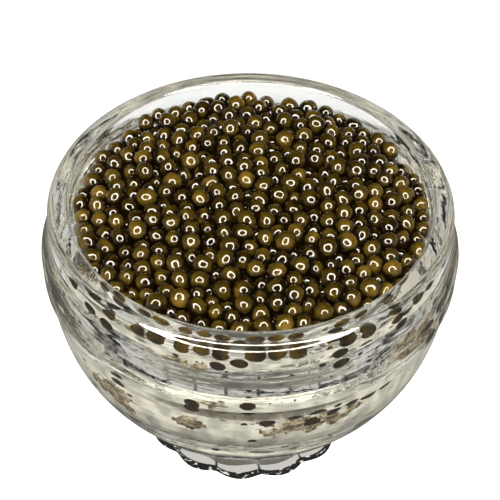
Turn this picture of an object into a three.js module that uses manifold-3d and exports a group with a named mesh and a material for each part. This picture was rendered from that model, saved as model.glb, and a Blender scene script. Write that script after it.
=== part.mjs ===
// An open glass jar of osetra caviar, heaped level with its rim.
// Millimetres, +Z up. The origin is the centre of the ring that the foot stands on.

import * as THREE from "three";
import { mergeVertices } from "three/addons/utils/BufferGeometryUtils.js";
import Module from "manifold-3d";

// Jar: radii from the axis and heights above the table
const LIP_RADIUS = 29.6;
const LIP_HEIGHT = 49.6;
const LIP_ROUND = 0.6;
const RIM_OUTER_RADIUS = 31.75;
const RIM_OUTER_HEIGHT = 49.9;
const RIM_ROUND = 1.5;
const SHOULDER_TOP_RADIUS = 34.67;
const SHOULDER_TOP_HEIGHT = 40.7;
const SHOULDER_LOW_RADIUS = 34.52;
const SHOULDER_LOW_HEIGHT = 36.7;
const BOWL_TOP_RADIUS = 33.65;
const BOWL_TOP_HEIGHT = 33.7;
const BOWL_LOW_RADIUS = 17.6;
const BOWL_LOW_HEIGHT = 5.8;
const HOLLOW_FLOOR_HEIGHT = 9.6;

// Foot: a ring of lobes whose flutes lean a little
const FOOT_RADIUS = 19.0;
const FOOT_NECK_HEIGHT = 5.2;
const FOOT_EDGE_ROUND = 1.1;
const LOBE_COUNT = 14;
const LOBE_DEPTH = 1.0;
const LOBE_LEAN = THREE.MathUtils.degToRad(4.5);
const FRONT_FLUTE = THREE.MathUtils.degToRad(9);
const RECESS_RADIUS = 12.4;
const RECESS_HEIGHT = 0.9;
const REST_INNER_RADIUS = 13.4;

// Roundness of the solids
const JAR_SEGMENTS = LOBE_COUNT * 4;
const HEAP_SEGMENTS = 48;
const MOUND_SEGMENTS = 8;

// Caviar
const EGG_DIAMETER = 3.1;
const EGG_SIZE_SPREAD = 0.08;
const FACETED_SWELL = 1.05;
const EGG_COUNT = 246;
const LOOSE_EGG_EVERY = 9;
const LOOSE_EGG_LIFT = 1.0;
const WALL_GAP = 0.35;
const HEAP_EDGE_HEIGHT = 46.9;
const HEAP_RISE = 1.7;
const HEAP_ROUGHNESS = 0.45;
const CORE_SINK = 0.35;
const WALL_BUMP = 0.3;
const SPREAD_PASSES = 40;
const GOLDEN_ANGLE = Math.PI * (3 - Math.sqrt(5));

const wasm = await Module();
wasm.setup();

// A small seeded generator, so that every build draws the same heap
function seededRandom(seed) {
  let state = seed;
  return () => {
    state = (Math.imul(state, 1664525) + 1013904223) >>> 0;
    return state / 4294967296;
  };
}

function arc(centreX, centreY, radius, fromAngle, toAngle, steps) {
  const curve = new THREE.EllipseCurve(
    centreX, centreY, radius, radius, fromAngle, toAngle, fromAngle > toAngle,
  );
  return curve.getPoints(steps);
}

function bezier(start, startControl, endControl, end, steps) {
  return new THREE.CubicBezierCurve(start, startControl, endControl, end).getPoints(steps);
}

// Joins stretches of outline and drops the points that two of them share
function outline(...stretches) {
  const points = [];
  for (const point of stretches.flat()) {
    const last = points.at(-1);
    if (!last || last.distanceTo(point) > 1e-6) {
      points.push(point);
    }
  }
  return points;
}

// Turns an outline of (radius, height) about the Z axis
function turned(points, segments) {
  const geometry = new THREE.LatheGeometry(points, segments);
  geometry.rotateX(Math.PI / 2);
  return geometry;
}

// Shares the vertices of a mesh and drops the triangles that have no area
function closedGeometry(geometry) {
  geometry.deleteAttribute("normal");
  geometry.deleteAttribute("uv");
  const merged = mergeVertices(geometry, 1e-4);
  const kept = [];
  const index = merged.getIndex().array;
  for (let i = 0; i < index.length; i += 3) {
    const [a, b, c] = [index[i], index[i + 1], index[i + 2]];
    if (a !== b && b !== c && c !== a) {
      kept.push(a, b, c);
    }
  }
  merged.setIndex(kept);
  return merged;
}

function solidOf(geometry) {
  const closed = closedGeometry(geometry);
  return new wasm.Manifold(new wasm.Mesh({
    numProp: 3,
    vertProperties: new Float32Array(closed.getAttribute("position").array),
    triVerts: new Uint32Array(closed.getIndex().array),
  }));
}

function geometryOf(solid) {
  const mesh = solid.getMesh();
  const geometry = new THREE.BufferGeometry();
  geometry.setAttribute("position", new THREE.BufferAttribute(mesh.vertProperties, 3));
  geometry.setIndex(new THREE.BufferAttribute(mesh.triVerts, 1));
  return geometry;
}

// The hollow of the jar, from the lip down to the middle of its floor
function hollowCurve(steps) {
  return bezier(
    new THREE.Vector2(LIP_RADIUS, LIP_HEIGHT),
    new THREE.Vector2(LIP_RADIUS - 4.3, LIP_HEIGHT - 25.6),
    new THREE.Vector2(19, HOLLOW_FLOOR_HEIGHT),
    new THREE.Vector2(0, HOLLOW_FLOOR_HEIGHT),
    steps,
  );
}

function hollowRadiusAt(height) {
  const points = hollowCurve(60);
  for (let i = 1; i < points.length; i += 1) {
    if (points[i].y <= height) {
      const share = (points[i - 1].y - height) / (points[i - 1].y - points[i].y);
      return THREE.MathUtils.lerp(points[i - 1].x, points[i].x, share);
    }
  }
  return 0;
}

function jarOutline() {
  const foot = [
    new THREE.Vector2(0, RECESS_HEIGHT),
    new THREE.Vector2(RECESS_RADIUS, RECESS_HEIGHT),
    new THREE.Vector2(REST_INNER_RADIUS, 0),
  ];
  const footEdge = arc(
    FOOT_RADIUS - FOOT_EDGE_ROUND, FOOT_EDGE_ROUND, FOOT_EDGE_ROUND, -Math.PI / 2, 0, 2,
  );
  const footSide = [new THREE.Vector2(FOOT_RADIUS - 0.7, FOOT_NECK_HEIGHT)];
  const bowl = bezier(
    new THREE.Vector2(BOWL_LOW_RADIUS, BOWL_LOW_HEIGHT),
    new THREE.Vector2(30.1, 17.2),
    new THREE.Vector2(32.4, 23.8),
    new THREE.Vector2(BOWL_TOP_RADIUS, BOWL_TOP_HEIGHT),
    6,
  );
  const shoulder = [
    new THREE.Vector2(SHOULDER_LOW_RADIUS, SHOULDER_LOW_HEIGHT),
    new THREE.Vector2(SHOULDER_TOP_RADIUS, SHOULDER_TOP_HEIGHT),
  ];
  const neck = new THREE.QuadraticBezierCurve(
    new THREE.Vector2(SHOULDER_TOP_RADIUS, SHOULDER_TOP_HEIGHT),
    new THREE.Vector2(33.4, 44.8),
    new THREE.Vector2(RIM_OUTER_RADIUS + RIM_ROUND, RIM_OUTER_HEIGHT - RIM_ROUND),
  ).getPoints(3);
  const rimEdge = arc(
    RIM_OUTER_RADIUS, RIM_OUTER_HEIGHT - RIM_ROUND, RIM_ROUND, 0, Math.PI / 2, 3,
  );
  const lip = arc(LIP_RADIUS + LIP_ROUND, LIP_HEIGHT, LIP_ROUND, Math.PI / 2, Math.PI, 2);
  return outline(foot, footEdge, footSide, bowl, shoulder, neck, rimEdge, lip, hollowCurve(7));
}

// Presses the flutes into the foot; they fade out just above the place where the bowl begins
function fluteFoot(geometry) {
  const position = geometry.getAttribute("position");
  for (let i = 0; i < position.count; i += 1) {
    const x = position.getX(i);
    const y = position.getY(i);
    const z = position.getZ(i);
    const radius = Math.hypot(x, y);
    const onSide = radius > REST_INNER_RADIUS + 1 && z < BOWL_LOW_HEIGHT + 0.1;
    if (onSide) {
      const azimuth = Math.atan2(x, -y);
      const lean = LOBE_LEAN * (1 - z / BOWL_LOW_HEIGHT);
      const flute = Math.abs(Math.cos((azimuth - lean - FRONT_FLUTE + LOBE_LEAN) * LOBE_COUNT / 2));
      const depth = LOBE_DEPTH * (z < FOOT_NECK_HEIGHT + 0.1 ? 1 : 0.35);
      const scale = 1 - depth * flute ** 3 / radius;
      position.setX(i, x * scale);
      position.setY(i, y * scale);
    }
  }
}

function jarGeometry() {
  const geometry = turned(jarOutline(), JAR_SEGMENTS);
  fluteFoot(geometry);
  return closedGeometry(geometry);
}

// Height of the egg centres at a distance from the axis
function heapHeight(radius) {
  return HEAP_EDGE_HEIGHT + HEAP_RISE * (1 - (radius / LIP_RADIUS) ** 2);
}

// The body of the heap: it follows the hollow, knobbly where eggs press against the wall
function coreSolid() {
  const side = hollowCurve(12).filter((point) => point.y < HEAP_EDGE_HEIGHT);
  const edgeRadius = hollowRadiusAt(HEAP_EDGE_HEIGHT);
  side.unshift(new THREE.Vector2(edgeRadius, HEAP_EDGE_HEIGHT - CORE_SINK));
  const wall = side.reverse().map((point) => new THREE.Vector2(
    Math.max(0, point.x - WALL_GAP),
    point.y + WALL_GAP * (1 - point.x / LIP_RADIUS),
  ));
  const top = [new THREE.Vector2(0, HEAP_EDGE_HEIGHT - CORE_SINK)];
  const geometry = turned(outline(wall, top), HEAP_SEGMENTS);
  const position = geometry.getAttribute("position");
  const rows = wall.length + top.length;
  for (let i = 0; i < position.count; i += 1) {
    const row = i % rows;
    const column = Math.floor(i / rows) % HEAP_SEGMENTS;
    if (row > 0 && row < wall.length && (row + column) % 2 === 1) {
      const radius = Math.hypot(position.getX(i), position.getY(i));
      const scale = 1 - WALL_BUMP / radius;
      position.setX(i, position.getX(i) * scale);
      position.setY(i, position.getY(i) * scale);
    }
  }
  return solidOf(geometry).add(moundSolid(edgeRadius - WALL_GAP));
}

// The low mound in the middle of the heap
function moundSolid(edgeRadius) {
  const base = HEAP_EDGE_HEIGHT - CORE_SINK;
  const rings = [0.96, 0.55, 0].map((share) => {
    const radius = edgeRadius * share;
    return new THREE.Vector2(radius, heapHeight(radius) - CORE_SINK);
  });
  const under = base - 2;
  return solidOf(turned(
    [new THREE.Vector2(0, under), new THREE.Vector2(rings[0].x, under), ...rings],
    MOUND_SEGMENTS,
  ));
}

// One egg with few sides, turned at random
function eggSolid(centre, diameter, random) {
  const geometry = new THREE.IcosahedronGeometry(FACETED_SWELL * diameter / 2, 0);
  geometry.rotateX(random() * Math.PI);
  geometry.rotateY(random() * Math.PI);
  geometry.rotateZ(random() * Math.PI);
  geometry.translate(centre.x, centre.y, centre.z);
  return solidOf(geometry);
}

// Pushes neighbouring eggs apart, seen from above, and keeps them off the wall
function spreadEggs(eggs, outermost) {
  for (const egg of eggs) {
    for (const other of eggs) {
      const reach = (egg.diameter + other.diameter) / 2;
      const apart = egg.centre.clone().sub(other.centre).setZ(0);
      const distance = apart.length();
      if (egg !== other && distance < reach) {
        const push = apart.multiplyScalar((reach - distance) / (2 * distance));
        egg.centre.add(push);
        other.centre.sub(push);
      }
    }
    const limit = outermost - egg.diameter / 2;
    const radius = Math.hypot(egg.centre.x, egg.centre.y);
    if (radius > limit) {
      egg.centre.multiplyScalar(limit / radius);
    }
  }
}

// Places for the eggs: an uneven spiral over the heap, loosened until they lie side by side
function eggPlaces(random) {
  const outermost = hollowRadiusAt(HEAP_EDGE_HEIGHT) - WALL_GAP;
  const eggs = [];
  for (let i = 0; i < EGG_COUNT; i += 1) {
    const diameter = EGG_DIAMETER * (1 + EGG_SIZE_SPREAD * (2 * random() - 1));
    const radius = outermost * Math.sqrt((i + 0.5) / EGG_COUNT) + random() - 0.5;
    const angle = i * GOLDEN_ANGLE + 0.1 * random();
    const centre = new THREE.Vector3(radius * Math.cos(angle), radius * Math.sin(angle), 0);
    eggs.push({ centre, diameter });
  }
  for (let pass = 0; pass < SPREAD_PASSES; pass += 1) {
    spreadEggs(eggs, outermost);
  }
  eggs.forEach(({ centre }, i) => {
    const lift = i % LOOSE_EGG_EVERY === 0 ? LOOSE_EGG_LIFT : 0;
    const unevenness = HEAP_ROUGHNESS * (2 * random() - 1);
    centre.setZ(heapHeight(Math.hypot(centre.x, centre.y)) + lift + unevenness);
  });
  return eggs;
}

function caviarGeometry() {
  const random = seededRandom(20571);
  let heap = coreSolid();
  for (const { centre, diameter } of eggPlaces(random)) {
    heap = heap.add(eggSolid(centre, diameter, random));
  }
  const pieces = heap.decompose();
  const whole = pieces.reduce((largest, piece) => (
    piece.volume() > largest.volume() ? piece : largest
  ));
  return closedGeometry(geometryOf(whole));
}

function plainMaterial(colour, roughness, opacity) {
  return new THREE.MeshStandardMaterial({
    color: colour,
    roughness,
    metalness: 0,
    opacity,
    transparent: opacity < 1,
  });
}

function namedMesh(name, geometry, material) {
  const mesh = new THREE.Mesh(geometry, material);
  mesh.name = name;
  return mesh;
}

const jarOfCaviar = new THREE.Group();
jarOfCaviar.add(namedMesh("jar", jarGeometry(), plainMaterial(0xd6dad3, 0.03, 0.35)));
jarOfCaviar.add(namedMesh("caviar", caviarGeometry(), plainMaterial(0x4e4024, 0.25, 1)));

export default jarOfCaviar;
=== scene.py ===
# An open pressed-glass jar heaped with osetra caviar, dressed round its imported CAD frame.
# Laid out as an add-on: sizes and colours are properties, and each piece has its operator.

import math

import bmesh
import bpy
import numpy as np
from bpy.props import FloatProperty, FloatVectorProperty, IntProperty, PointerProperty
from mathutils import Matrix, Vector, noise


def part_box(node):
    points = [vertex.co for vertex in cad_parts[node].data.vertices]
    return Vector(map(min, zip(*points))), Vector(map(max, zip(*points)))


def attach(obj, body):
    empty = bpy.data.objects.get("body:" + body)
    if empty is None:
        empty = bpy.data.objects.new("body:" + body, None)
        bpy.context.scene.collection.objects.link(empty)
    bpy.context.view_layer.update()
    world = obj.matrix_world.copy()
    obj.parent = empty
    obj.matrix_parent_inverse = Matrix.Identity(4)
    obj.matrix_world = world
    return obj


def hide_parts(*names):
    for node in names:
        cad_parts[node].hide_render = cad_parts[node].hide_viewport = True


bl_info = {
    "name": "Jar of osetra caviar",
    "version": (1, 0, 0),
    "blender": (4, 5, 0),
    "location": "3D View > Sidebar > Caviar",
    "description": "Pressed-glass jar heaped with caviar eggs, with its floor, lights and camera",
    "category": "Object",
}

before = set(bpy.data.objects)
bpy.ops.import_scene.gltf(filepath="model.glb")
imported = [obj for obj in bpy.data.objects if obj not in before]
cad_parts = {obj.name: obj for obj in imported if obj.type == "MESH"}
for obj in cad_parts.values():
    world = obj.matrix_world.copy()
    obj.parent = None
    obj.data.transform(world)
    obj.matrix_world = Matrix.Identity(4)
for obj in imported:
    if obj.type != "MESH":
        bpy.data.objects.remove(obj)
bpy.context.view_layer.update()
JAR_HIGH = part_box("jar")[1]
HEAP_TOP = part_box("caviar")[1].z

MM = 0.001
BODY = "root"
JAR_NODE = "jar"
HEAP_NODE = "caviar"


# Properties

def number(name, description, default, **kind):
    return FloatProperty(name=name, description=description, default=default, **kind)


def length(name, description, default):
    return number(name, description, default, unit="LENGTH", precision=5)


def angle(name, description, degrees):
    return number(name, description, math.radians(degrees), subtype="ANGLE")


def share(name, description, default):
    return number(name, description, default, subtype="FACTOR")


def colour(name, description, default):
    return FloatVectorProperty(
        name=name, description=description, default=default, subtype="COLOR", size=3, min=0.0, max=1.0)


class CaviarJarShape(bpy.types.PropertyGroup):
    """Sizes of the glass jar"""
    lip_radius: length("Lip radius", "Inner radius at the lip", 29.6 * MM)
    lip_height: length("Lip height", "Height at which the lip's inner round starts", JAR_HIGH.z - 0.6 * MM)
    lip_round: length("Lip round", "Radius of the lip's inner edge", 0.6 * MM)
    rim_radius: length("Rim radius", "Radius at which the rim's top starts to turn down", 31.75 * MM)
    rim_height: length("Rim height", "Height of the rim's top, before it turns down", JAR_HIGH.z - 0.3 * MM)
    rim_round: length("Rim round", "Radius of the rim's outer edge", 1.5 * MM)
    shoulder_radius: length("Shoulder radius", "Radius at the shoulder's upper edge", JAR_HIGH.x)
    shoulder_height: length("Shoulder height", "Height of the shoulder's upper edge", 40.7 * MM)
    shoulder_low_radius: length("Shoulder low radius", "Radius at the shoulder's lower edge", 34.52 * MM)
    shoulder_low_height: length("Shoulder low height", "Height of the shoulder's lower edge", 36.7 * MM)
    bowl_radius: length("Bowl radius", "Radius at the top of the bowl, under the step", 33.65 * MM)
    bowl_height: length("Bowl height", "Height of the top of the bowl", 33.7 * MM)
    waist_radius: length("Waist radius", "Radius where the bowl meets the foot", 17.6 * MM)
    waist_height: length("Waist height", "Height where the bowl meets the foot", 5.8 * MM)
    foot_radius: length("Foot radius", "Radius over the lobes of the foot", 19.0 * MM)
    foot_neck_height: length("Foot neck height", "Height of the top of the lobes", 5.2 * MM)
    foot_round: length("Foot round", "Radius of the foot's lower edge", 0.8 * MM)
    lobe_depth: length("Lobe depth", "Depth of the flutes between the lobes", 1.0 * MM)
    lobe_count: IntProperty(name="Lobes", description="Number of lobes round the foot", default=14)
    lobe_lean: angle("Lobe lean", "Turn of a flute from its top to its bottom", 4.5)
    front_flute: angle("Front flute", "Azimuth of the flute nearest the front, at the table", 9)
    recess_radius: length("Recess radius", "Radius of the flat recess under the foot", 12.4 * MM)
    recess_height: length("Recess height", "Height of the recess under the foot", 0.9 * MM)
    rest_radius: length("Rest radius", "Inner radius of the ring that the jar stands on", 13.4 * MM)
    floor_height: length("Hollow floor", "Height of the floor of the hollow", 9.6 * MM)
    seam_azimuth: angle("Mould seam", "Azimuth of the front mould seam, from the front", 16.5)
    seam_height: length("Mould seam height", "How far a mould seam stands out", 0.03 * MM)
    seam_width: length("Mould seam width", "Width of a mould seam", 0.3 * MM)


class CaviarHeapShape(bpy.types.PropertyGroup):
    """Sizes of the eggs and of their heap"""
    egg_diameter: length("Egg diameter", "Mean diameter of an egg", 3.3 * MM)
    size_spread: share("Size spread", "Greatest difference from the mean diameter", 0.1)
    squash: share("Squash", "How much eggs differ from a ball", 0.12)
    closeness: share("Closeness", "Distance of touching eggs over their mean diameter", 0.95)
    wall_reach: length("Wall reach", "How far the flattened eggs reach into the glass", 0.25 * MM)
    edge_height: length("Edge height", "Height of the topmost egg centres at the wall", 45.9 * MM)
    rise: length("Rise", "How much higher the heap is in its middle", 2.7 * MM)
    tilt: length("Tilt", "How much higher the heap is at the back wall, and lower at the front", 0.7 * MM)
    roughness: length("Roughness", "Unevenness of the top of the heap", 0.8 * MM)
    core_depth: length("Core depth", "Depth of the core under the eggs' centres at the top", 2.1 * MM)
    core_gap: length("Core gap", "Distance of the core from the glass", 2.6 * MM)
    juice_reach: length("Juice reach", "How far the patches of juice reach into the glass", 0.15 * MM)
    seed: IntProperty(name="Seed", description="Seed of every random draw", default=7)


class CaviarLooks(bpy.types.PropertyGroup):
    """Colours and finishes"""
    glass_tint: colour("Glass tint", "Tint of the glass", (0.975, 0.985, 0.97))
    juice_dark: colour("Juice dark", "Darkest part of the juice against the glass", (0.05, 0.04, 0.022))
    juice_light: colour("Juice light", "Lightest part of the juice against the glass", (0.26, 0.22, 0.15))
    glass_ior: number("Glass IOR", "Refraction of the glass", 1.5)
    # The darkest egg colour also serves as painted shade at contacts and deep in the heap, and the gold as
    # painted light on each egg's lit side
    roe_dark_and_painted_shade: colour("Roe dark", "Darkest part of an egg", (0.006, 0.003, 0.0003))
    roe_olive: colour("Roe olive", "Main colour of the eggs", (0.050, 0.030, 0.0025))
    roe_gold_painted_light: colour("Roe gold", "Where light comes through an egg", (0.16, 0.092, 0.009))
    # The core's near-black colour is partly wet mass and partly painted shade in the gaps between the eggs
    core_wet_and_gap_shade: colour("Core colour", "Dark wet mass between the eggs", (0.010, 0.006, 0.002))
    floor_colour: colour("Floor colour", "Plain pale floor", (0.86, 0.86, 0.86))


class CaviarStage(bpy.types.PropertyGroup):
    """Camera and lights"""
    distance: length("Camera distance", "From the middle of the rim", 293 * MM)
    elevation: angle("Elevation", "Camera above the rim's plane", 42.8)
    roll: angle("Roll", "Turn of the camera about its view", 1.2)
    focal_pixels: number("Focal length", "In pixels of a frame 500 pixels wide", 1798)
    rim_pixel: FloatVectorProperty(
        name="Rim pixel", description="Where the middle of the rim shows in that frame",
        default=(251.2, 198.0), size=2)
    ring_inner: angle("Ring inner angle", "Inner edge of the ring light, from the view", 30)
    ring_outer: angle("Ring outer angle", "Outer edge of the ring light, from the view", 45)
    ring_radiance: number("Ring radiance", "Brightness of the ring light", 36)
    ring_tint: colour("Ring tint", "Tint of the ring light", (1.0, 0.93, 0.82))
    front_level: number("Front level", "Light on the floor from the camera's side", 4.2)
    top_level: number("Top level", "Light on the floor from above", 1.2)
    room_tint: colour("Room tint", "Tint of the room in the glass", (1.0, 0.95, 0.77))
    around: number("Surround", "Brightness of the room in the glass", 0.95)
    dimmed: share("Dimmed", "Share of that brightness that is left near the floor and overhead", 0.45)
    # The table and backdrop levels also set the painted light and shade of the glowing table that only the
    # glass shows
    table: number("Table", "Brightness of the table in the glass", 0.7)
    camera_side: number("Camera side", "Brightness round the camera in the glass", 0.62)
    backdrop: number("Backdrop", "Brightness beyond the jar in the glass", 1.05)


def settings(name):
    """One of the groups of properties, by its name in GROUPS"""
    return getattr(bpy.context.scene, name)


# Outlines, as (radius, height) points

def arc(centre, radius, start, end, steps):
    angles = np.linspace(start, end, steps + 1)
    return np.column_stack((centre[0] + radius * np.cos(angles), centre[1] + radius * np.sin(angles)))


def bezier(points, steps):
    """A curve between the outer two of four points, pulled by the inner two"""
    a, b, c, d = (np.array(p, float) for p in points)
    t = np.linspace(0, 1, steps + 1)[:, None]
    return (1 - t) ** 3 * a + 3 * (1 - t) ** 2 * t * b + 3 * (1 - t) * t * t * c + t ** 3 * d


def bent(start, pull, end, steps):
    """A curve from start to end that is pulled towards a point beside it"""
    start, pull, end = (np.array(p, float) for p in (start, pull, end))
    t = np.linspace(0, 1, steps + 1)[:, None]
    return (1 - t) ** 2 * start + 2 * (1 - t) * t * pull + t * t * end


def softened(before, corner, after, reach, steps=4):
    """A corner of an outline, rounded over a reach on both sides"""
    corner = np.array(corner, float)
    legs = [np.array(p, float) - corner for p in (before, after)]
    start, end = (corner + leg * reach / np.linalg.norm(leg) for leg in legs)
    return bent(start, corner, end, steps)


def joined(*stretches):
    """Stretches of outline in one, without the points that two of them share"""
    points = np.vstack([np.atleast_2d(s) for s in stretches])
    apart = np.linalg.norm(np.diff(points, axis=0), axis=1) > 1e-6
    return points[np.concatenate(([True], apart))]


# Points that pull the curves of the jar, its slight tapers, and how far each corner is rounded

HOLLOW_PULL = (4.3 * MM, 25.6 * MM)
HOLLOW_FLOOR_PULL = 19 * MM
BOWL_PULLS = ((30.1 * MM, 17.2 * MM), (32.4 * MM, 23.8 * MM))
NECK_PULL = (33.4 * MM, 44.8 * MM)
FOOT_TAPER = 0.7 * MM
BAND_TAPER = 0.02 * MM
RECESS_EDGE = 0.5 * MM
REST_EDGE = 0.4 * MM
WAIST_EDGE = 0.8 * MM
STEP_EDGE = 0.12 * MM
BAND_LOW_EDGE = 0.15 * MM
BAND_TOP_EDGE = 0.1 * MM


def hollow_outline(jar, steps=48):
    """The hollow, from its lip down to the middle of its floor"""
    return bezier([
        (jar.lip_radius, jar.lip_height),
        (jar.lip_radius - HOLLOW_PULL[0], jar.lip_height - HOLLOW_PULL[1]),
        (HOLLOW_FLOOR_PULL, jar.floor_height),
        (0, jar.floor_height),
    ], steps)


def jar_outline(jar):
    """The whole section of the jar, from under the foot, up the outside and down the hollow"""
    quarter = math.pi / 2
    recess = [(0, jar.recess_height), (jar.recess_radius * 0.5, jar.recess_height)]
    recess_end = (jar.recess_radius, jar.recess_height)
    rest_start = (jar.rest_radius, 0)
    recess_edge = softened(recess[0], recess_end, rest_start, RECESS_EDGE)
    rest = softened(recess_end, rest_start, (jar.foot_radius, 0), REST_EDGE)
    foot_edge = arc((jar.foot_radius - jar.foot_round, jar.foot_round), jar.foot_round, -quarter, 0, 6)
    foot_top = (jar.foot_radius - FOOT_TAPER, jar.foot_neck_height)
    side = np.linspace(foot_edge[-1], foot_top, 5)
    bowl = bezier([
        (jar.waist_radius, jar.waist_height), *BOWL_PULLS, (jar.bowl_radius, jar.bowl_height)], 34)
    waist_corner = softened(side[-2], foot_top, bowl[1], WAIST_EDGE, 5)
    low = (jar.shoulder_low_radius, jar.shoulder_low_height)
    top = (jar.shoulder_radius - BAND_TAPER, jar.shoulder_height)
    rim_start = (jar.rim_radius + jar.rim_round, jar.rim_height - jar.rim_round)
    neck = bent(top, NECK_PULL, rim_start, 12)
    step_corner = softened(bowl[-2], bowl[-1], low, STEP_EDGE, 3)
    low_corner = softened(bowl[-1], low, top, BAND_LOW_EDGE, 3)
    top_corner = softened(low, top, neck[1], BAND_TOP_EDGE, 3)
    rim_edge = arc((jar.rim_radius, rim_start[1]), jar.rim_round, 0, quarter, 12)
    lip = arc((jar.lip_radius + jar.lip_round, jar.lip_height), jar.lip_round, quarter, math.pi, 7)
    return joined(
        recess, recess_edge, rest, foot_edge, side[:-1], waist_corner, bowl[1:-1], step_corner,
        low_corner, top_corner, neck[1:], rim_edge, lip, hollow_outline(jar))


# Building meshes

def turned(outline, steps):
    """A bmesh of an outline spun about the Z axis"""
    mesh = bmesh.new()
    points = [mesh.verts.new((radius, 0, height)) for radius, height in outline]
    edges = [mesh.edges.new(pair) for pair in zip(points, points[1:])]
    bmesh.ops.spin(
        mesh, geom=points + edges, cent=(0, 0, 0), axis=(0, 0, 1), angle=2 * math.pi,
        steps=steps, use_merge=True)
    bmesh.ops.remove_doubles(mesh, verts=mesh.verts, dist=1e-7)
    bmesh.ops.recalc_face_normals(mesh, faces=mesh.faces)
    return mesh


def widen(vert, scale):
    """Moves a point out from the Z axis, or in"""
    vert.co.x *= scale
    vert.co.y *= scale


# How sharp the flutes of the foot are, and where they fade out above its waist and in its ring

FLUTE_SHARPNESS = 1.2
FLUTE_FADE = 0.9 * MM
FLUTE_START = 0.8 * MM
FLUTE_RUN = 2 * MM


def flute_at(point, jar):
    """1 in the valley between two lobes, 0 on the crest of a lobe"""
    lean = jar.lobe_lean * (1 - point.z / jar.waist_height)
    turn = math.atan2(point.x, -point.y) - lean - jar.front_flute + jar.lobe_lean
    return 1 - abs(math.sin(turn * jar.lobe_count / 2)) ** FLUTE_SHARPNESS


def press_flutes(mesh, jar):
    """Flutes run down the foot between the lobes and fade out where the bowl begins"""
    fade_height = jar.waist_height + FLUTE_FADE
    for vert in mesh.verts:
        radius = math.hypot(vert.co.x, vert.co.y)
        if radius > jar.rest_radius + FLUTE_START and vert.co.z < fade_height:
            flute = flute_at(vert.co, jar)
            fade = min(1, (fade_height - vert.co.z) / (fade_height - jar.foot_neck_height))
            inner = min(1, (radius - jar.rest_radius - FLUTE_START) / FLUTE_RUN)
            widen(vert, 1 - jar.lobe_depth * flute * fade * inner / radius)


def piece_from(mesh, name, material):
    """Turns a bmesh into a smooth-shaded object in the scene"""
    data = bpy.data.meshes.new(name)
    for face in mesh.faces:
        face.smooth = True
    mesh.to_mesh(data)
    mesh.free()
    data.materials.append(material)
    piece = bpy.data.objects.new(name, data)
    bpy.context.scene.collection.objects.link(piece)
    return piece


# Materials. Waves are pairs of a noise's scale and a height in millimetres

GLASS_DRAWN = (0.12, 0.12, 1.3)
GLASS_WAVES = ((170, 0.2), (560, 0.03), (1600, 0.014))
ROE_WAVES = ((420, 0.22), (1500, 0.02))
CORE_WAVES = ((800, 1.6),)
BLOTCH_SHARE = 0.35
SHADE_NEAR_FOOT = (17 * MM, 26 * MM)
PAST_RIM = (34 * MM, 40 * MM)
BEHIND_JAR = (-6 * MM, 16 * MM)
TABLE_BLOTCHES = (0.75, 1.35)


def new_material(name):
    material = bpy.data.materials.new(name)
    material.use_nodes = True
    return material, material.node_tree, material.node_tree.nodes["Principled BSDF"]


def feed(tree, node, sources):
    """Links sockets of a node to their sources, or sets those whose source is a plain value"""
    for socket, source in sources.items():
        if isinstance(source, bpy.types.NodeSocket):
            tree.links.new(source, node.inputs[socket])
        else:
            node.inputs[socket].default_value = source


def add_node(tree, kind, sources, **options):
    """Adds a node of a kind with its options, and feeds its sockets"""
    node = tree.nodes.new("ShaderNode" + kind)
    for name, value in options.items():
        setattr(node, name, value)
    feed(tree, node, sources)
    return node


def object_place(tree):
    """Where a point lies, in the coordinates of its own piece"""
    return add_node(tree, "TexCoord", {}).outputs["Object"]


def attribute(tree, name):
    return add_node(tree, "Attribute", {}, attribute_name=name).outputs["Fac"]


def noise_over(tree, place, scale, detail=2.0, roughness=0.5):
    """Cloudy noise, from 0 to 1"""
    sources = {"Vector": place, "Scale": scale, "Detail": detail, "Roughness": roughness}
    return add_node(tree, "TexNoise", sources).outputs["Fac"]


def waved_normal(tree, place, waves, detail, strength=1.0):
    """A normal tilted by waves of several lengths"""
    sources = {"Strength": strength}
    for scale, height in waves:
        sources["Distance"] = height * MM
        sources["Height"] = noise_over(tree, place, scale, detail)
        sources["Normal"] = add_node(tree, "Bump", sources).outputs["Normal"]
    return sources["Normal"]


def smooth_range(tree, source, start, end, low=0.0, high=1.0):
    """A value that runs smoothly from low to high while its source runs from start to end"""
    sources = {"Value": source, "From Min": start, "From Max": end, "To Min": low, "To Max": high}
    return add_node(tree, "MapRange", sources, interpolation_type="SMOOTHSTEP").outputs["Result"]


def product(tree, *factors):
    return add_node(tree, "Math", dict(enumerate(factors)), operation="MULTIPLY").outputs[0]


def ramped(tree, source, first, last, *between):
    """A colour that follows a value, through stops that are each a position and a colour"""
    ramp = add_node(tree, "ValToRGB", {"Fac": source})
    stops = ramp.color_ramp.elements
    for stop, (position, tint) in zip(stops, (first, last)):
        stop.position = position
        stop.color = (*tint, 1)
    for position, tint in between:
        stops.new(position).color = (*tint, 1)
    return ramp.outputs["Color"]


def mixed(tree, part, low, high):
    """A colour between two others, by a part from 0 to 1"""
    return add_node(tree, "Mix", {0: part, 6: low, 7: high}, data_type="RGBA", clamp_result=False).outputs[2]


def glass_material():
    """Clear glass with a faint tint and soft waves drawn out round the jar"""
    looks = settings("caviar_looks")
    material, tree, shader = new_material("pressed_glass")
    drawn = add_node(tree, "VectorMath", {0: object_place(tree), 1: GLASS_DRAWN}, operation="MULTIPLY")
    feed(tree, shader, {
        "Base Color": (*looks.glass_tint, 1),
        "Roughness": 0.0,
        "IOR": looks.glass_ior,
        "Transmission Weight": 1.0,
        "Normal": waved_normal(tree, drawn.outputs[0], GLASS_WAVES, detail=1.5, strength=0.4),
    })
    return material


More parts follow.
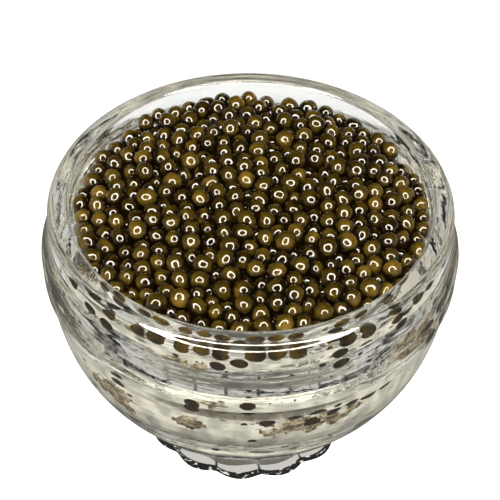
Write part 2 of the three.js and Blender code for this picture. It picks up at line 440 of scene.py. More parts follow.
def roe_material(name, light):
    """Wet egg: dark skin, with a painted lighter side where light comes through; the per-point value it
    follows also holds painted shade at contacts and deep in the heap
    """
    looks = settings("caviar_looks")
    material, tree, shader = new_material(name)
    place = object_place(tree)
    blotch = noise_over(tree, place, scale=900, detail=3.0)
    tone_and_painted_light = add_node(
        tree, "Math", {0: blotch, 1: BLOTCH_SHARE, 2: attribute(tree, "tone_and_painted_light")}, operation="MULTIPLY_ADD")
    tint = ramped(
        tree, tone_and_painted_light.outputs[0],
        (0.15, looks.roe_dark_and_painted_shade), (1.0, looks.roe_gold_painted_light), (0.55 - light, looks.roe_olive))
    feed(tree, shader, {
        "Base Color": tint,
        "Roughness": 0.035,
        "IOR": 1.45,
        "Subsurface Weight": 0.08,
        "Subsurface Radius": (1.0, 0.5, 0.12),
        "Subsurface Scale": 0.8 * MM,
        "Normal": waved_normal(tree, place, ROE_WAVES, detail=1.0),
    })
    return material


def core_material():
    """Wet mass between the eggs, painted near black for the shade in the gaps, with clouded brown juice where
    it presses against the glass
    """
    looks = settings("caviar_looks")
    material, tree, shader = new_material("roe_liquor")
    place = object_place(tree)
    blotch = noise_over(tree, place, scale=400)
    wet = ramped(tree, blotch, (0.0, looks.roe_dark_and_painted_shade), (1.0, looks.core_wet_and_gap_shade))
    clouds = noise_over(tree, place, scale=700, detail=5.0, roughness=0.65)
    juice = ramped(tree, clouds, (0.4, looks.juice_dark), (0.6, looks.juice_light))
    feed(tree, shader, {
        "Base Color": mixed(tree, attribute(tree, "juice"), wet, juice),
        "Roughness": 0.06,
        "Normal": waved_normal(tree, place, CORE_WAVES, detail=2.0),
    })
    return material


def emitting(name, tint=(1.0, 1.0, 1.0), strength=1.0):
    """A material that only gives out light"""
    material, tree, shader = new_material(name)
    feed(tree, shader, {
        "Base Color": (0, 0, 0, 1),
        "Specular IOR Level": 0.0,
        "Emission Color": (*tint, 1),
        "Emission Strength": strength,
    })
    return material, tree, shader


def painted_reflection_material():
    """A painted reflection: a faintly glowing floor that only the outside of the glass reflects"""
    return emitting("floor_painted_reflection", (1.0, 0.96, 0.88), strength=0.1)[0]


def table_material(stage):
    """A glowing table that only the glass shows, painted with the jar's shade near the foot and with white
    light behind it
    """
    material, tree, shader = emitting("floor_through_glass")
    place = object_place(tree)
    from_axis = add_node(tree, "VectorMath", {0: place}, operation="LENGTH").outputs["Value"]
    behind = add_node(tree, "SeparateXYZ", {0: place}).outputs["Y"]
    dark, light = (stage.table * part for part in TABLE_BLOTCHES)
    clouds = noise_over(tree, place, scale=160, detail=5.0)
    blotches = smooth_range(tree, clouds, start=0.4, end=0.62, low=dark, high=light)
    # Painted shade near the foot, with painted blotches of light, and painted white light past the rim behind
    # the jar
    shaded = product(tree, blotches, smooth_range(tree, from_axis, *SHADE_NEAR_FOOT, low=0.3))
    white = product(
        tree, smooth_range(tree, from_axis, *PAST_RIM), smooth_range(tree, behind, *BEHIND_JAR))
    feed(tree, shader, {
        "Emission Color": mixed(tree, white, (*stage.room_tint, 1), (1, 1, 1, 1)),
        "Emission Strength": add_node(tree, "Mix", {0: white, 2: shaded, 3: stage.backdrop}).outputs[0],
    })
    return material


def painted_under_foot_material():
    """Painted light: a glowing card for the lit table under the foot, painted dark along the valleys between
    the lobes
    """
    material, tree, shader = emitting("foot_painted_light", (1.0, 0.975, 0.9))
    lit = smooth_range(tree, attribute(tree, "valley"), start=0.8, end=0.95, low=0.62, high=0.05)
    feed(tree, shader, {"Emission Strength": lit})
    return material


def shade_material():
    """A glowing ring of painted shade where the jar stands, with bright specks of painted glint, as the glass
    shows it
    """
    material, tree, shader = emitting("contact_shade", (1.0, 0.98, 0.92))
    grain = noise_over(tree, object_place(tree), scale=900)
    shade_and_painted_glints = smooth_range(tree, grain, start=0.56, end=0.66, low=0.02, high=0.9)
    feed(tree, shader, {"Emission Strength": shade_and_painted_glints})
    return material


def floor_material():
    material, tree, shader = new_material("pale_floor")
    feed(tree, shader, {"Base Color": (*settings("caviar_looks").floor_colour, 1), "Roughness": 0.9})
    return material


# Packing of the eggs, in millimetres

FILLING = 0.66
HEADROOM = 6.0
WALL_STRIDE = 3
WAVES = 7
SHORTEST_WAVE = 7
LIFT_MEAN = -0.3
LIFT_SPREAD = 0.9
LIFT_RANGE = (-2.5, 1)
SWELL_SHARE = 0.6
CALM_START = 26.0
CALM_WIDTH = 1.5
CALM_SHARE = 0.75
TOP_CLEARANCE = 0.71
PASSES = 160
PASSES_PER_SEARCH = 6
SEARCH_REACH = 1.25
OVERLAP_UNDONE = 0.35
FREE_GAP = 0.05

# How many eggs cling to the glass and how hard they press on it, by height, and fewer at the sides

CLING_HEIGHTS = (20, 43.4, 44.2)
CLING_SHARES = (0.02, 0.03, 0.84)
CLING_PRESS = (0.7, 0.8, 1.0)
CLING_TURN = 38
SIDE_CLING = 0.5
PATCH_CLING = 0.6

# Patches on the glass: degrees from the front, height, half width in degrees, half height

CLING_PATCHES = (
    (-16, 40.5, 9, 1.8), (28, 29.0, 25, 2.2), (-14, 32.4, 9, 1.2), (-52, 43.0, 8, 2.0), (36, 43.2, 9, 1.6),
    (-70, 37.0, 10, 1.5), (75, 34.0, 12, 2.0))
JUICE_PATCHES = (
    (-18, 41.3, 13, 1.6), (-10, 33.0, 8, 1.2), (20, 27.0, 24, 3.8), (-50, 25.5, 13, 4.2),
    (-20, 26.0, 8, 2.6), (58, 35.0, 16, 2.6), (-78, 37.5, 10, 1.8), (100, 36.0, 20, 3.0),
    (160, 30.0, 40, 3.0), (-130, 38.0, 25, 2.5))


class Packing:
    """Eggs pushed apart inside the hollow until they lie close"""

    def __init__(self, jar, heap):
        self.random = np.random.default_rng(heap.seed)
        self.wall = hollow_outline(jar, 160) / MM
        self.wall = np.vstack(([self.wall[0][0], self.wall[0][1] + HEADROOM], self.wall))
        fine = np.linspace(0, 1, 6)[:, None]
        stretches = [a + (b - a) * fine[:-1] for a, b in zip(self.wall, self.wall[1:])]
        self.wall = np.vstack(stretches)
        along = np.gradient(self.wall, axis=0)
        along /= np.linalg.norm(along, axis=1)[:, None]
        self.inward = np.column_stack((along[:, 1], -along[:, 0]))
        self.floor = jar.floor_height / MM
        self.heap = heap
        self.mean = heap.egg_diameter / MM
        self.close = heap.closeness
        self.reach = heap.wall_reach / MM
        self.spread = heap.size_spread
        self.waves = self.random.uniform(-1, 1, (WAVES, 2)) * 2 * math.pi / SHORTEST_WAVE
        self.phases = self.random.uniform(0, 2 * math.pi, WAVES)

    def ceiling(self):
        """Height that each egg's centre stays under: the heap's top, uneven, with an own lift for each egg"""
        radius = np.hypot(self.place[:, 0], self.place[:, 1]) * MM
        swell = np.sin(self.place[:, :2] @ self.waves.T + self.phases).sum(1) / 3
        rough = self.heap.roughness / MM
        highest = HEAP_TOP / MM - self.size * TOP_CLEARANCE
        edge = np.clip((radius / MM - CALM_START) / CALM_WIDTH, 0, 1)
        lift = (SWELL_SHARE * swell + self.lift) * (1 - CALM_SHARE * edge)
        top = heap_height(self.heap, radius) + self.heap.tilt * self.place[:, 1] / self.wall[0][0]
        return np.minimum(top / MM + rough * lift, highest)

    def scatter(self):
        """Eggs at random all through the hollow"""
        radius = self.wall[0][0]
        top = (self.heap.edge_height + self.heap.rise) / MM + 0.5 * self.mean
        egg = math.pi / 6 * (self.mean * self.close) ** 3
        count = int(FILLING * (2 * radius) ** 2 * (top - self.floor) / egg)
        place = self.random.uniform(-1, 1, (count, 3)) * radius
        place[:, 2] = self.random.uniform(self.floor, top, count)
        across = np.hypot(place[:, 0], place[:, 1])
        order = np.argsort(self.wall[:, 1])
        limit = np.interp(place[:, 2], self.wall[order, 1], self.wall[order, 0])
        self.place = place[across < limit]
        self.size = self.mean * (1 + self.spread * self.random.uniform(-1, 1, len(self.place)))
        self.cling = self.random.uniform(0, 1, len(self.place))
        self.lift = np.clip(self.random.normal(LIFT_MEAN, LIFT_SPREAD, len(self.place)), *LIFT_RANGE)

    def neighbours(self, reach):
        """Pairs of eggs that lie within a reach of each other"""
        cell = np.floor((self.place - self.place.min(0)) / reach).astype(int) + 1
        shape = cell.max(0) + 2
        flat = (cell[:, 0] * shape[1] + cell[:, 1]) * shape[2] + cell[:, 2]
        order = np.argsort(flat, kind="stable")
        ranked = flat[order]
        slot = np.arange(len(ranked)) - np.searchsorted(ranked, ranked)
        table = np.full((shape.prod(), slot.max() + 1), -1)
        table[ranked, slot] = order
        steps = np.array([(i * shape[1] + j) * shape[2] + k
                          for i in (-1, 0, 1) for j in (-1, 0, 1) for k in (-1, 0, 1)])
        other = table[flat[:, None] + steps].reshape(len(flat), -1)
        own = np.repeat(np.arange(len(flat)), other.shape[1])
        other = other.ravel()
        kept = other > own
        own, other = own[kept], other[kept]
        near = np.linalg.norm(self.place[own] - self.place[other], axis=1) < reach
        return own[near], other[near]

    def settle(self):
        """Pushes overlapping eggs apart and keeps them off the wall and under the top of the heap"""
        reach = self.mean * (1 + self.spread) * SEARCH_REACH
        for step in range(PASSES):
            if step % PASSES_PER_SEARCH == 0:
                own, other = self.neighbours(reach)
            apart = self.place[own] - self.place[other]
            distance = np.maximum(np.linalg.norm(apart, axis=1), 1e-6)
            need = self.close * (self.size[own] + self.size[other]) / 2
            overlap = np.maximum(need - distance, 0)
            push = apart * (OVERLAP_UNDONE * overlap / distance)[:, None]
            for axis in range(3):
                self.place[:, axis] += np.bincount(own, push[:, axis], len(self.place))
                self.place[:, axis] -= np.bincount(other, push[:, axis], len(self.place))
            self.keep_inside()

    def wall_distance(self):
        """Each egg's distance from the wall, the direction away from it, and its distance from the axis"""
        across = np.hypot(self.place[:, 0], self.place[:, 1])
        flat = np.column_stack((across, self.place[:, 2]))
        gap = flat[:, None, :] - self.wall[None, ::WALL_STRIDE, :]
        nearest = np.argmin((gap ** 2).sum(2), axis=1) * WALL_STRIDE
        inward = self.inward[nearest]
        return ((flat - self.wall[nearest]) * inward).sum(1), inward, across

    def keep_inside(self):
        """Moves eggs in from the wall, less where they cling to it, and down under the ceiling"""
        distance, inward, across = self.wall_distance()
        height = self.place[:, 2].copy()
        turn = np.degrees(np.arctan(-self.place[:, 0] / self.place[:, 1]))
        chance = np.interp(height, CLING_HEIGHTS, CLING_SHARES)
        chance = np.where(np.abs(turn) < CLING_TURN, chance, chance * SIDE_CLING)
        for azimuth, middle, half_width, half_height in CLING_PATCHES:
            off = np.hypot((turn - azimuth) / half_width, (height - middle) / half_height)
            chance = np.where(off < 1, PATCH_CLING, chance)
        press = np.interp(height, CLING_HEIGHTS, CLING_PRESS)
        press = np.where(self.cling < chance, press, -FREE_GAP)
        short = np.maximum(self.size / 2 - press - distance, 0)
        moved = np.maximum(across + inward[:, 0] * short, 0)
        self.place[:, :2] *= (moved / np.maximum(across, 1e-6))[:, None]
        self.place[:, 2] += inward[:, 1] * short
        self.place[:, 2] = np.minimum(self.place[:, 2], self.ceiling())

    def contacts(self, most=14):
        """For each egg, the directions and distances of the planes on which it is pressed flat"""
        own, other = self.neighbours(self.mean * (1 + self.spread))
        own, other = np.concatenate((own, other)), np.concatenate((other, own))
        apart = self.place[other] - self.place[own]
        distance = np.linalg.norm(apart, axis=1)
        half, other_half = self.size[own] / 2, self.size[other] / 2
        plane = (distance ** 2 + half ** 2 - other_half ** 2) / (2 * distance)
        order = np.argsort(own, kind="stable")
        own, apart, distance, plane = own[order], apart[order], distance[order], plane[order]
        slot = np.arange(len(own)) - np.searchsorted(own, own)
        kept = slot < most
        ways = np.zeros((len(self.place), most + 1, 3))
        planes = np.full((len(self.place), most + 1), np.inf)
        ways[own[kept], slot[kept]] = apart[kept] / distance[kept, None]
        planes[own[kept], slot[kept]] = plane[kept]
        gap, inward, across = self.wall_distance()
        spoke = self.place[:, :2] / np.maximum(across, 1e-6)[:, None]
        ways[:, most, :2] = -spoke * inward[:, :1]
        ways[:, most, 2] = -inward[:, 1]
        planes[:, most] = gap + self.reach
        return ways, planes


def egg_ball():
    """Unit egg of two dozen faces, as vertices and faces; subdivision rounds it"""
    ball = bmesh.new()
    bmesh.ops.create_cube(ball, size=2)
    bmesh.ops.subdivide_edges(ball, edges=ball.edges, cuts=1, use_grid_fill=True)
    for vert in ball.verts:
        vert.co.normalize()
    ball.verts.ensure_lookup_table()
    points = np.array([vert.co for vert in ball.verts])
    faces = np.array([[vert.index for vert in face.verts] for face in ball.faces])
    ball.free()
    return points, faces


def random_turns(random, count):
    """Rotation matrices spread evenly over all turns"""
    spin = random.normal(size=(count, 4))
    w, x, y, z = (spin / np.linalg.norm(spin, axis=1)[:, None]).T
    return np.stack([
        np.stack([1 - 2 * (y * y + z * z), 2 * (x * y - z * w), 2 * (x * z + y * w)], 1),
        np.stack([2 * (x * y + z * w), 1 - 2 * (x * x + z * z), 2 * (y * z - x * w)], 1),
        np.stack([2 * (x * z - y * w), 2 * (y * z + x * w), 1 - 2 * (x * x + y * y)], 1),
    ], 1)


SUBDIVIDED_SHRINK = 0.839
FLAT_SHRINK = 0.9
# Painted shade near contacts: how far it reaches, its strength against the glass, and how dark it is; then
# the dents, and each egg's painted lit side with its share
TOUCH_WIDTH = 0.35
WALL_TOUCH = 0.5
TOUCH_SHADE = 0.6
DENTS = 0.055
PAINTED_LIGHT_SIDE = (0.0, -0.6, -0.9)
PAINTED_LIGHT_SHARE = 0.24


def pressed(local, ways, planes):
    """Flattens eggs on their planes of contact, and tells how near each point is to one, where shade is
    painted
    """
    touch = np.zeros(local.shape[:2])
    for slot in range(planes.shape[1]):
        reach = np.einsum("nvi,ni->nv", local, ways[:, slot])
        excess = reach - planes[:, slot, None] / FLAT_SHRINK
        local = local - np.maximum(excess, 0)[:, :, None] * ways[:, None, slot]
        strength = 1.0 if slot < planes.shape[1] - 1 else WALL_TOUCH
        touch = np.maximum(touch, strength * np.clip(1 + excess / TOUCH_WIDTH, 0, 1))
    return local, touch


def egg_piece(name, places, sizes, contacts, brightness, material, random, squash):
    """One joined mesh of eggs of one kind"""
    ball, faces = egg_ball()
    count = len(places)
    stretch = 1 + squash * random.uniform(-1, 1, (count, 1, 3))
    dents = 1 + DENTS * random.normal(size=(count, len(ball), 1))
    local = ball[None] * stretch * dents * (sizes / 2 / SUBDIVIDED_SHRINK)[:, None, None]
    turn = random_turns(random, count)
    local, touch = pressed(np.einsum("nij,nvj->nvi", turn, local), *contacts)
    points = (places[:, None, :] + local).reshape(-1, 3) * MM
    all_faces = (faces[None] + (np.arange(count) * len(ball))[:, None, None]).reshape(-1, 4)
    data = bpy.data.meshes.new(name)
    data.from_pydata(points.tolist(), [], all_faces.tolist())
    data.shade_smooth()
    # Painted light and shade: each egg is painted lighter on a side turned mostly down and to the front, as
    # light through it would fall, and darker where it touches other eggs or the glass
    painted_light_side = random.normal(size=(count, 3)) + np.array(PAINTED_LIGHT_SIDE)
    painted_light_side /= np.linalg.norm(painted_light_side, axis=1)[:, None]
    facing = (local / np.linalg.norm(local, axis=2)[:, :, None] * painted_light_side[:, None, :]).sum(2)
    tone_and_painted_light = brightness[:, None] + PAINTED_LIGHT_SHARE * facing - TOUCH_SHADE * touch
    layer = data.attributes.new("tone_and_painted_light", "FLOAT", "POINT")
    layer.data.foreach_set("value", tone_and_painted_light.ravel().astype(np.float32))
    data.materials.append(material)
    piece = bpy.data.objects.new(name, data)
    bpy.context.scene.collection.objects.link(piece)
    rounding = piece.modifiers.new("round", "SUBSURF")
    rounding.levels = 1
    rounding.render_levels = 1
    return piece


# Operators

STEPS_PER_LOBE = 20
SEAM_START = 0.3 * MM
SEAM_ZONE = 3 * MM
SEAM_CATCH = 1.05
HALF_WALL = 1.2 * MM


class CAVIAR_OT_glass_jar(bpy.types.Operator):
    """Builds the pressed-glass jar: one turned wall, with the lobes of the foot pressed in"""
    bl_idname = "caviar.glass_jar"
    bl_label = "Glass jar"

    def execute(self, context):
        jar = settings("caviar_jar")
        mesh = turned(jar_outline(jar), jar.lobe_count * STEPS_PER_LOBE)
        press_flutes(mesh, jar)
        self.raise_seams(mesh, jar)
        bmesh.ops.recalc_face_normals(mesh, faces=mesh.faces)
        glass = piece_from(mesh, "glass_jar", glass_material())
        hide_from(glass, "shadow")
        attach(glass, BODY)
        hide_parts(JAR_NODE)
        return {"FINISHED"}

    def raise_seams(self, mesh, jar):
        """Two faint ridges, opposite each other, where the halves of the mould met"""
        across = Vector((math.cos(jar.seam_azimuth), math.sin(jar.seam_azimuth), 0))
        half = jar.seam_width / 2
        hollow = hollow_outline(jar)[::-1]

        def outside(point):
            """Whether a point lies on the outer side of the neck"""
            on_neck = jar.shoulder_height + SEAM_START < point.z < jar.rim_height - jar.rim_round
            in_wall = np.interp(point.z, hollow[:, 1], hollow[:, 0]) + HALF_WALL
            return on_neck and math.hypot(point.x, point.y) > in_wall

        for offset in (-2 * half, -half, half, 2 * half):
            centres = [(face, face.calc_center_median()) for face in mesh.faces]
            faces = [face for face, centre in centres
                     if abs(centre.dot(across)) < SEAM_ZONE and outside(centre)]
            edges = {edge for face in faces for edge in face.edges}
            verts = {vert for face in faces for vert in face.verts}
            bmesh.ops.bisect_plane(
                mesh, geom=[*verts, *edges, *faces], dist=1e-7, plane_co=across * offset, plane_no=across)
        for vert in mesh.verts:
            if abs(vert.co.dot(across)) < SEAM_CATCH * half and outside(vert.co):
                widen(vert, 1 + jar.seam_height / math.hypot(vert.co.x, vert.co.y))


CORE_ROWS = 70
CORE_RINGS = 12
CORE_STEPS = 240
EDGE_SLACK = 0.1 * MM
SWELL_FROM = 10 * MM
JUICE_FILL = 0.8
JUICE_SHORT = 0.22
JUICE_EDGE = 0.2
JUICE_RAGGED = ((0.45, 380), (0.35, 900))


class CAVIAR_OT_core(bpy.types.Operator):
    """Builds the wet core that shows between the eggs, coloured dark as painted shade in the gaps"""
    bl_idname = "caviar.core"
    bl_label = "Core of the heap"

    def execute(self, context):
        jar = settings("caviar_jar")
        heap = settings("caviar_heap")
        wall = hollow_outline(jar, CORE_ROWS)
        wall = wall[wall[:, 1] < heap.edge_height - heap.core_depth][::-1]
        side = wall.copy()
        side[:, 0] = np.maximum(wall[:, 0] - heap.core_gap, 0)
        side[:, 1] += heap.core_gap * (1 - wall[:, 0] / jar.lip_radius)
        radii = np.linspace(side[-1, 0], 0, CORE_RINGS)
        top = np.column_stack((radii, heap_height(heap, radii) - heap.core_depth))
        mesh = turned(joined(side, top), CORE_STEPS)
        below = side[-1, 1] - EDGE_SLACK
        for vert in mesh.verts:
            if vert.co.z > below:
                vert.co.z += heap.tilt * vert.co.y / jar.lip_radius
        self.swell_to_glass(mesh, jar, heap, below)
        core = piece_from(mesh, "roe_core", core_material())
        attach(core, BODY)
        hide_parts(HEAP_NODE)
        return {"FINISHED"}

    def swell_to_glass(self, mesh, jar, heap, below):
        """Lets the wet mass swell out between the eggs and press against the glass in patches"""
        layer = mesh.verts.layers.float.new("juice")
        full = 1 + heap.juice_reach / heap.core_gap
        for vert in mesh.verts:
            radius = math.hypot(vert.co.x, vert.co.y)
            if radius < SWELL_FROM or vert.co.z > below:
                continue
            drop = heap.core_gap * (1 - (radius + heap.core_gap) / jar.lip_radius)
            turn = math.degrees(math.atan2(vert.co.x, -vert.co.y))
            juice = juice_at(turn, (vert.co.z - drop) / MM, vert.co)
            swell = min(max(juice / JUICE_EDGE, 0), 1)
            vert[layer] = swell
            widen(vert, 1 + heap.core_gap * full * swell / radius)
            vert.co.z -= drop * full * swell


def juice_at(turn, height, point):
    """How much brown juice lies against the glass: above 0 inside the patches, with uneven edges"""
    most = -1.0
    for azimuth, middle, half_width, half_height in JUICE_PATCHES:
        off = math.hypot((turn - azimuth) / half_width, (height - middle) / half_height)
        most = max(most, 1 - off * off)
    ragged = sum(size * noise.noise(point * scale) for size, scale in JUICE_RAGGED)
    return most * JUICE_FILL + ragged - JUICE_SHORT


def heap_height(heap, radius):
    """Height of the topmost egg centres at a distance from the axis"""
    wall = settings("caviar_jar").lip_radius
    return heap.edge_height + heap.rise * (1 - (radius / wall) ** 2)


# Eggs that are kept, by their depth in millimetres, the painted shade that darkens deeper eggs, and how
# bright they are

TOP_LAYERS = 5.4
WALL_LAYERS = 3.2
SHADED_DEPTHS = (0.7, 2.4)
SHADED_LEVELS = (1.0, 0.05)
BRIGHTNESS_MEAN = 0.38
BRIGHTNESS_SPREAD = 0.045
BRIGHTNESS_RANGE = (0.05, 0.9)
# The umber kind is mostly eggs painted dark by the depth shade, with a few of darker tone; it uses the same
# colour ramp as the olive kind
EGG_KINDS = (("roe_umber_and_deep_shade", 0.0), ("roe_olive", 0.0), ("roe_amber", 0.06))
KIND_LIMITS = (0.28, 0.44)


class CAVIAR_OT_eggs(bpy.types.Operator):
    """Packs the eggs into the jar and keeps those that show on top and against the glass"""
    bl_idname = "caviar.eggs"
    bl_label = "Caviar eggs"

    def execute(self, context):
        jar = settings("caviar_jar")
        heap = settings("caviar_heap")
        packing = Packing(jar, heap)
        packing.scatter()
        packing.settle()
        random = packing.random
        depth = packing.ceiling() - packing.place[:, 2]
        from_wall = packing.wall_distance()[0]
        shown = (depth < TOP_LAYERS) | (from_wall < WALL_LAYERS)
        place, size = packing.place[shown], packing.size[shown]
        ways, planes = (part[shown] for part in packing.contacts())
        # Painted shade: eggs deeper under the top of the heap are painted darker
        shade = np.interp(depth[shown], SHADED_DEPTHS, SHADED_LEVELS)
        brightness = random.normal(BRIGHTNESS_MEAN, BRIGHTNESS_SPREAD, len(place))
        brightness = np.clip(brightness, *BRIGHTNESS_RANGE) * shade
        kind = np.digitize(brightness, KIND_LIMITS)
        for index, (name, light) in enumerate(EGG_KINDS):
            chosen = kind == index
            eggs = egg_piece(
                name, place[chosen], size[chosen], (ways[chosen], planes[chosen]), brightness[chosen],
                roe_material(name, light), random, heap.squash)
            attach(eggs, BODY)
            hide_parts(HEAP_NODE)
        return {"FINISHED"}


# The stage, in metres: camera, lights, the room in the glass, the floor and the glowing cards on it, pieces
# of painted light, shade and reflection that only the glass shows

FRAME_PIXELS = 500
SENSOR_WIDTH = 36.0
RIGHT = Vector((1, 0, 0))
SOFT_DISTANCE = 1.0
RING_REACH = 0.6
RING_LIGHTS = 16
RING_WIDTH_SHARE = 0.75
FRONT_RADIUS = 0.3
TOP_RADIUS = 0.8
WHITE = (1.0, 1.0, 1.0)
BRIGHT_BAND = 1.5
CAMERA_LEVEL = 0.08
FLOOR_STEPS = 64
FLOOR_RADIUS = 1.2
FLOOR_BEND = 0.5
FLOOR_TOP = 1.3
ABOVE_TABLE = 0.03 * MM
CARD_STEPS_PER_LOBE = 16
CARD_START = 0.2 * MM
CARD_STEP = 1.2 * MM
SHADE_WIDTH = 2.2 * MM
SHADE_STEP = 1 * MM
UNSEEN = ("camera", "diffuse", "shadow")


def hide_from(piece, *rays):
    """Hides an object from kinds of ray"""
    for kind in rays:
        setattr(piece, "visible_" + kind, False)


def matrix_at(place, *axes):
    """The matrix of an object at a place, turned to three axes"""
    return Matrix.Translation(place) @ Matrix(axes).transposed().to_4x4()


def flat_light(name, shape, matrix):
    """An area light that shows neither to the camera nor through the glass"""
    data = bpy.data.lights.new(name, "AREA")
    data.shape = shape
    light = bpy.data.objects.new(name, data)
    light.matrix_world = matrix
    hide_from(light, "camera", "transmission")
    bpy.context.scene.collection.objects.link(light)
    return light


class CAVIAR_OT_stage(bpy.types.Operator):
    """Sets the floor, the camera and the lights"""
    bl_idname = "caviar.stage"
    bl_label = "Stage"

    def execute(self, context):
        stage = settings("caviar_stage")
        jar = settings("caviar_jar")
        rim_centre = Vector((0, 0, jar.rim_height))
        back = Vector((0, -math.cos(stage.elevation), math.sin(stage.elevation)))
        self.add_floor(jar, stage)
        self.add_camera(stage, rim_centre, back)
        self.add_ring(stage, rim_centre, back)
        self.add_soft_light(stage, rim_centre, back)
        self.add_room(stage, back)
        context.scene.view_settings.view_transform = "Standard"
        context.scene.cycles.max_bounces = 32
        context.scene.cycles.glossy_bounces = 24
        context.scene.cycles.transmission_bounces = 32
        return {"FINISHED"}

    def add_room(self, stage, back):
        """The room that shows in the glass: bands by height, a dark camera, and white beyond the jar"""
        world = bpy.data.worlds.new("room")
        world.use_nodes = True
        tree = world.node_tree
        place = add_node(tree, "TexCoord", {}).outputs["Generated"]
        ahead = add_node(tree, "VectorMath", {0: place, 1: -back}, operation="DOT_PRODUCT").outputs["Value"]
        height = add_node(tree, "SeparateXYZ", {0: place}).outputs["Z"]
        seen = (*(channel * stage.around for channel in stage.room_tint), 1)
        for source, start, end, tint, level in (
                (height, 0.12, 0.18, stage.room_tint, stage.around * stage.dimmed),
                (height, 0.42, 0.5, stage.room_tint, stage.around * BRIGHT_BAND),
                (height, 0.75, 0.85, stage.room_tint, stage.around * stage.dimmed),
                (ahead, -0.55, -0.75, stage.room_tint, stage.camera_side),
                (ahead, -0.90, -0.96, WHITE, CAMERA_LEVEL),
                (ahead, 0.86, 0.91, WHITE, stage.backdrop)):
            part = smooth_range(tree, source, start, end)
            seen = mixed(tree, part, seen, (*(channel * level for channel in tint), 1))
        feed(tree, tree.nodes["Background"], {"Color": seen})
        world.cycles_visibility.glossy = False
        world.cycles_visibility.diffuse = False
        bpy.context.scene.world = world

    def add_floor(self, jar, stage):
        """A flat floor, its bend up behind, and glowing pieces that only the glass shows: a painted
        reflection of the floor, the table with painted shade and light, and painted light and shade under the
        foot
        """
        bend = arc((FLOOR_RADIUS, FLOOR_BEND), FLOOR_BEND, -math.pi / 2, 0, 12)
        flat = np.array([(0, 0), (FLOOR_RADIUS / 2, 0), (FLOOR_RADIUS, 0)])
        whole = joined(flat, bend, (FLOOR_RADIUS + FLOOR_BEND, FLOOR_TOP))
        for name, outline, material, low, rays in (
                ("floor", whole, floor_material(), -0.02, ("transmission", "glossy")),
                ("floor_painted_reflection", flat, painted_reflection_material(), -0.04, (*UNSEEN, "transmission")),
                ("floor_through_glass", flat, table_material(stage), -0.06, (*UNSEEN, "glossy"))):
            mesh = turned(outline, FLOOR_STEPS)
            bmesh.ops.translate(mesh, verts=mesh.verts, vec=(0, 0, low * MM))
            piece = piece_from(mesh, name, material)
            hide_from(piece, *rays)
        edge = jar.foot_radius - jar.foot_round
        band = edge - SHADE_WIDTH
        card = jar.rest_radius + CARD_START, jar.rest_radius + CARD_STEP, band
        shade = band, edge - SHADE_STEP, edge
        for name, radii, material in (
                ("foot_painted_light", card, painted_under_foot_material()), ("contact_shade", shade, shade_material())):
            mesh = turned([(radius, ABOVE_TABLE) for radius in radii], jar.lobe_count * CARD_STEPS_PER_LOBE)
            layer = mesh.verts.layers.float.new("valley")
            for vert in mesh.verts:
                vert[layer] = flute_at(vert.co, jar)
            press_flutes(mesh, jar)
            piece = piece_from(mesh, name, material)
            hide_from(piece, *UNSEEN)

    def add_camera(self, stage, rim_centre, back):
        """The camera of the photograph: its place, its lens, and its aim by where the rim's middle shows"""
        up = back.cross(RIGHT)
        offset = Vector((FRAME_PIXELS / 2 - stage.rim_pixel[0], FRAME_PIXELS / 2 - stage.rim_pixel[1]))
        across = math.cos(stage.roll) * offset.x + math.sin(stage.roll) * offset.y
        down = math.cos(stage.roll) * offset.y - math.sin(stage.roll) * offset.x
        aim = -back + RIGHT * (across / stage.focal_pixels) - up * (down / stage.focal_pixels)
        axis_z = -aim.normalized()
        tilted = RIGHT * math.cos(stage.roll) + up * math.sin(stage.roll)
        axis_x = (tilted - axis_z * tilted.dot(axis_z)).normalized()
        data = bpy.data.cameras.new("camera")
        data.sensor_width = SENSOR_WIDTH
        data.lens = stage.focal_pixels / FRAME_PIXELS * SENSOR_WIDTH
        data.clip_start = 0.01
        camera = bpy.data.objects.new("camera", data)
        place = rim_centre + back * stage.distance
        camera.matrix_world = matrix_at(place, axis_x, axis_z.cross(axis_x), axis_z)
        bpy.context.scene.collection.objects.link(camera)
        bpy.context.scene.camera = camera

    def add_ring(self, stage, rim_centre, back):
        """A ring light round the view, made of flat lights, which gives each egg its bright ring"""
        middle = (stage.ring_inner + stage.ring_outer) / 2
        width = RING_REACH * (math.tan(stage.ring_outer) - math.tan(stage.ring_inner)) * math.cos(middle)
        up = back.cross(RIGHT)
        for index in range(RING_LIGHTS):
            turn = 2 * math.pi * index / RING_LIGHTS
            outward = RIGHT * math.cos(turn) + up * math.sin(turn)
            place = rim_centre + (back * math.cos(middle) + outward * math.sin(middle)) * RING_REACH
            axis_z = (place - rim_centre).normalized()
            axis_x = outward.cross(back).normalized()
            light = flat_light(
                "ring_light", "RECTANGLE", matrix_at(place, axis_x, axis_z.cross(axis_x), axis_z))
            hide_from(light, "diffuse")
            light.data.size = 2 * math.pi * RING_REACH * math.sin(middle) / RING_LIGHTS
            light.data.size_y = width * RING_WIDTH_SHARE
            light.data.energy = stage.ring_radiance * math.pi * light.data.size * light.data.size_y
            light.data.color = stage.ring_tint

    def add_soft_light(self, stage, rim_centre, back):
        """Broad soft lights round the camera and overhead, which reflections don't show"""
        above = Vector((0.1, 0.3, 1)).normalized()
        for name, direction, radius, level in (
                ("front_light", back, FRONT_RADIUS, stage.front_level),
                ("top_light", above, TOP_RADIUS, stage.top_level)):
            turn = direction.to_track_quat("Z", "Y").to_matrix().to_4x4()
            place = Matrix.Translation(rim_centre + direction * SOFT_DISTANCE)
            light = flat_light(name, "DISK", place @ turn)
            hide_from(light, "glossy")
            light.data.size = 2 * radius
            spread = radius ** 2 / (radius ** 2 + SOFT_DISTANCE ** 2)
            light.data.energy = level * math.pi * radius ** 2 / (spread * direction.z)


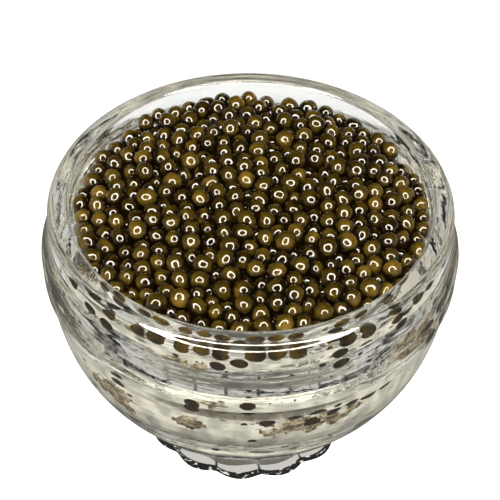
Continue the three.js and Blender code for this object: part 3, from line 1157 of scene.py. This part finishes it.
class CAVIAR_PT_panel(bpy.types.Panel):
    """Lists the pieces in the sidebar"""
    bl_idname = "CAVIAR_PT_panel"
    bl_label = "Caviar"
    bl_space_type = "VIEW_3D"
    bl_region_type = "UI"
    bl_category = "Caviar"

    def draw(self, context):
        for operator in OPERATORS:
            self.layout.operator(operator.bl_idname)


GROUPS = {
    "caviar_jar": CaviarJarShape,
    "caviar_heap": CaviarHeapShape,
    "caviar_looks": CaviarLooks,
    "caviar_stage": CaviarStage,
}
OPERATORS = (CAVIAR_OT_stage, CAVIAR_OT_glass_jar, CAVIAR_OT_core, CAVIAR_OT_eggs)


def register():
    for group in GROUPS.values():
        bpy.utils.register_class(group)
    for name, group in GROUPS.items():
        setattr(bpy.types.Scene, name, PointerProperty(type=group))
    for operator in OPERATORS:
        bpy.utils.register_class(operator)
    bpy.utils.register_class(CAVIAR_PT_panel)


def unregister():
    bpy.utils.unregister_class(CAVIAR_PT_panel)
    for operator in reversed(OPERATORS):
        bpy.utils.unregister_class(operator)
    for name, group in GROUPS.items():
        delattr(bpy.types.Scene, name)
        bpy.utils.unregister_class(group)


def main():
    register()
    bpy.ops.caviar.stage()
    bpy.ops.caviar.glass_jar()
    bpy.ops.caviar.core()
    bpy.ops.caviar.eggs()


if __name__ == "__main__":
    main()
